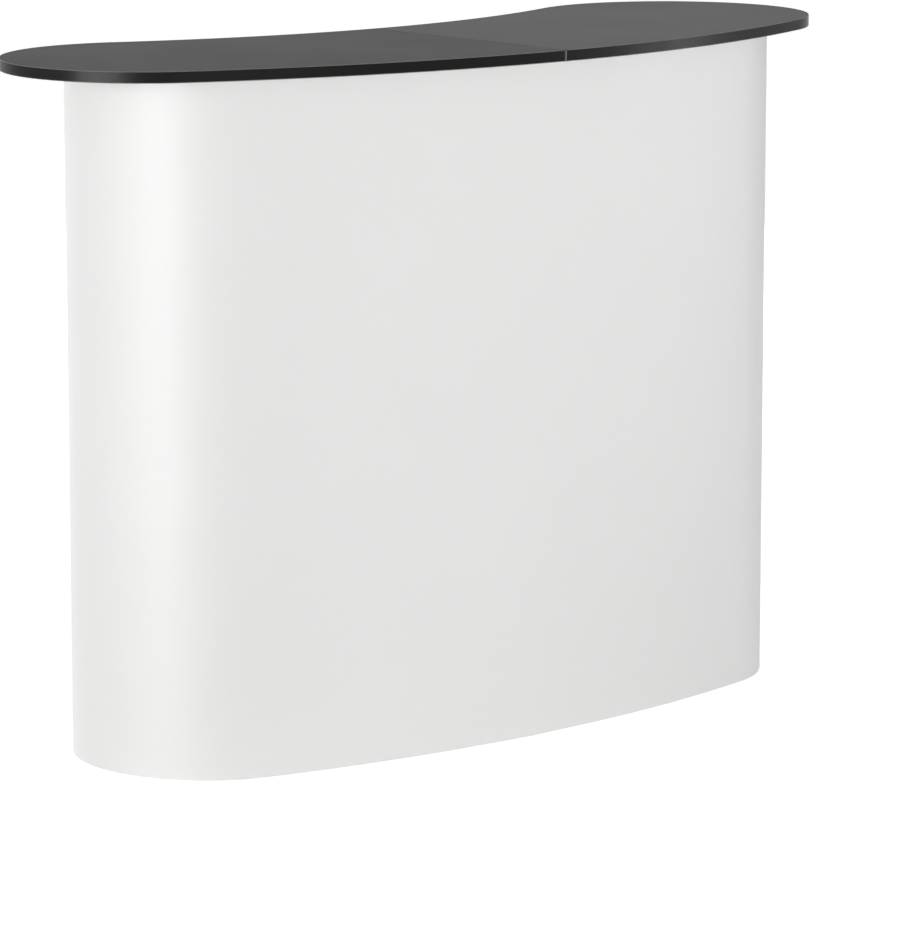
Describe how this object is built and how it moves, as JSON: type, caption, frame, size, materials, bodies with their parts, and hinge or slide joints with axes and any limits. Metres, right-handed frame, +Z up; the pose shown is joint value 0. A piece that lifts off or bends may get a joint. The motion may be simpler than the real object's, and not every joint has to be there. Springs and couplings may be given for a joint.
{
  "type": "folding display counter",
  "caption": "Folding display counter: black kidney-shaped top in hinged leaves over a white curved sheet wall, with a scissor frame and shelf inside.",
  "frame": {"origin": "middle of the base of the bounding box, on the floor", "axes": "+X to the right along the length as seen from the front, +Y to the back, +Z up"},
  "size_m": [1.2998, 0.4818, 0.92],
  "materials": {
    "laminate": "black melamine-faced board, satin",
    "edge_strip": "black ABS edge strip, satin",
    "sheet": "white PVC sheet, smooth matt",
    "magnet_tape": "flexible magnetic tape, matt",
    "aluminium": "satin anodised",
    "nylon": "black moulded nylon, fine texture",
    "zinc_steel": "zinc plated"
  },
  "bodies": {
    "centre_frame": {"centre_front_post": "aluminium", "centre_back_post": "aluminium", "centre_shelf_rail": "aluminium", "centre_cross_rails": "aluminium", "centre_feet": "nylon", "centre_caps": "nylon", "centre_wall_bars": "aluminium", "centre_top_brackets": "nylon", "centre_bracket_pins": "zinc_steel", "wall_panel": "sheet", "wall_magnets": "magnet_tape", "shelf_left": "laminate", "shelf_right": "laminate"},
    "left_frame": {"left_front_post": "aluminium", "left_back_post": "aluminium", "left_shelf_rail": "aluminium", "left_cross_rails": "aluminium", "left_feet": "nylon", "left_caps": "nylon", "left_wall_bars": "aluminium", "left_top_brackets": "nylon", "left_bracket_pins": "zinc_steel"},
    "right_frame": {"right_front_post": "aluminium", "right_back_post": "aluminium", "right_shelf_rail": "aluminium", "right_cross_rails": "aluminium", "right_feet": "nylon", "right_caps": "nylon", "right_wall_bars": "aluminium", "right_top_brackets": "nylon", "right_bracket_pins": "zinc_steel"},
    "centre_slider_pair": {"centre_sliders": "nylon", "centre_slider_pins": "zinc_steel"},
    "left_slider_pair": {"left_sliders": "nylon", "left_slider_pins": "zinc_steel"},
    "right_slider_pair": {"right_sliders": "nylon", "right_slider_pins": "zinc_steel"},
    "front_left_outer": {"front_left_outer_arm": "aluminium", "front_left_rivet": "zinc_steel"},
    "front_left_inner": {"front_left_inner_arm": "aluminium"},
    "back_left_outer": {"back_left_outer_arm": "aluminium", "back_left_rivet": "zinc_steel"},
    "back_left_inner": {"back_left_inner_arm": "aluminium"},
    "front_right_outer": {"front_right_outer_arm": "aluminium", "front_right_rivet": "zinc_steel"},
    "front_right_inner": {"front_right_inner_arm": "aluminium"},
    "back_right_outer": {"back_right_outer_arm": "aluminium", "back_right_rivet": "zinc_steel"},
    "back_right_inner": {"back_right_inner_arm": "aluminium"},
    "top_hinge": {"hinge_pins": "zinc_steel"},
    "top_left": {"top_left_board": "laminate", "top_left_edge_band": "edge_strip", "hinge_leaves_left": "zinc_steel", "hinge_screws_left": "zinc_steel"},
    "top_right": {"top_right_board": "laminate", "top_right_edge_band": "edge_strip", "hinge_leaves_right": "zinc_steel", "hinge_screws_right": "zinc_steel"}
  },
  "joints": [
    {"name": "frame_fold", "type": "hinge", "parent": "centre_frame", "child": "front_left_outer", "pos_m": [-0.02575, -0.17128, 0.86], "axis": [-0.1379, -0.9904, 0], "range_deg": [0, 27.5]},
    {"name": "front_left_cross", "type": "hinge", "parent": "front_left_outer", "child": "front_left_inner", "pos_m": [-0.2255, -0.14347, 0.51015], "axis": [-0.1379, -0.9904, 0], "range_deg": [-55, 0]},
    {"name": "left_frame_pivot", "type": "hinge", "parent": "front_left_inner", "child": "left_frame", "pos_m": [-0.42525, -0.11567, 0.86], "axis": [-0.1379, -0.9904, 0], "range_deg": [0, 27.5]},
    {"name": "left_slider_pivot", "type": "hinge", "parent": "front_left_outer", "child": "left_slider_pair", "pos_m": [-0.42525, -0.11567, 0.1603], "axis": [-0.1379, -0.9904, 0], "range_deg": [-27.5, 0]},
    {"name": "centre_slider_pivot", "type": "hinge", "parent": "front_left_inner", "child": "centre_slider_pair", "pos_m": [-0.02575, -0.17128, 0.1603], "axis": [-0.1379, -0.9904, 0], "range_deg": [0, 27.5]},
    {"name": "back_left_fold", "type": "hinge", "parent": "centre_frame", "child": "back_left_outer", "pos_m": [-0.02575, 0.12041, 0.86], "axis": [-0.1379, -0.9904, 0], "range_deg": [0, 27.5]},
    {"name": "back_left_cross", "type": "hinge", "parent": "back_left_outer", "child": "back_left_inner", "pos_m": [-0.2255, 0.14822, 0.51015], "axis": [-0.1379, -0.9904, 0], "range_deg": [-55, 0]},
    {"name": "front_right_fold", "type": "hinge", "parent": "centre_frame", "child": "front_right_outer", "pos_m": [0.02575, -0.17128, 0.86], "axis": [-0.1379, 0.9904, 0], "range_deg": [0, 27.5]},
    {"name": "front_right_cross", "type": "hinge", "parent": "front_right_outer", "child": "front_right_inner", "pos_m": [0.2255, -0.14347, 0.51015], "axis": [-0.1379, 0.9904, 0], "range_deg": [-55, 0]},
    {"name": "right_frame_pivot", "type": "hinge", "parent": "front_right_inner", "child": "right_frame", "pos_m": [0.42525, -0.11567, 0.86], "axis": [-0.1379, 0.9904, 0], "range_deg": [0, 27.5]},
    {"name": "right_slider_pivot", "type": "hinge", "parent": "front_right_outer", "child": "right_slider_pair", "pos_m": [0.42525, -0.11567, 0.1603], "axis": [-0.1379, 0.9904, 0], "range_deg": [-27.5, 0]},
    {"name": "back_right_fold", "type": "hinge", "parent": "centre_frame", "child": "back_right_outer", "pos_m": [0.02575, 0.12041, 0.86], "axis": [-0.1379, 0.9904, 0], "range_deg": [0, 27.5]},
    {"name": "back_right_cross", "type": "hinge", "parent": "back_right_outer", "child": "back_right_inner", "pos_m": [0.2255, 0.14822, 0.51015], "axis": [-0.1379, 0.9904, 0], "range_deg": [-55, 0]},
    {"name": "top_lift", "type": "slide", "parent": "centre_frame", "child": "top_hinge", "axis": [0, 0, 1], "range_m": [0, 1]},
    {"name": "top_left_fold", "type": "hinge", "parent": "top_hinge", "child": "top_left", "pos_m": [0, 0, 0.901], "axis": [0, -1, 0], "range_deg": [0, 90]},
    {"name": "top_right_fold", "type": "hinge", "parent": "top_hinge", "child": "top_right", "pos_m": [0, 0, 0.901], "axis": [0, 1, 0], "range_deg": [0, 90]}
  ],
  "couplings": [
    {"joint": "front_left_cross", "follows": "frame_fold", "ratio": -2},
    {"joint": "left_frame_pivot", "follows": "frame_fold", "ratio": 1},
    {"joint": "left_slider_pivot", "follows": "frame_fold", "ratio": -1},
    {"joint": "centre_slider_pivot", "follows": "frame_fold", "ratio": 1},
    {"joint": "back_left_fold", "follows": "frame_fold", "ratio": 1},
    {"joint": "back_left_cross", "follows": "frame_fold", "ratio": -2},
    {"joint": "front_right_fold", "follows": "frame_fold", "ratio": 1},
    {"joint": "front_right_cross", "follows": "frame_fold", "ratio": -2},
    {"joint": "right_frame_pivot", "follows": "frame_fold", "ratio": 1},
    {"joint": "right_slider_pivot", "follows": "frame_fold", "ratio": -1},
    {"joint": "back_right_fold", "follows": "frame_fold", "ratio": 1},
    {"joint": "back_right_cross", "follows": "frame_fold", "ratio": -2},
    {"joint": "top_left_fold", "follows": "top_lift", "rad_per_m": 1.57},
    {"joint": "top_right_fold", "follows": "top_lift", "rad_per_m": 1.57}
  ]
}
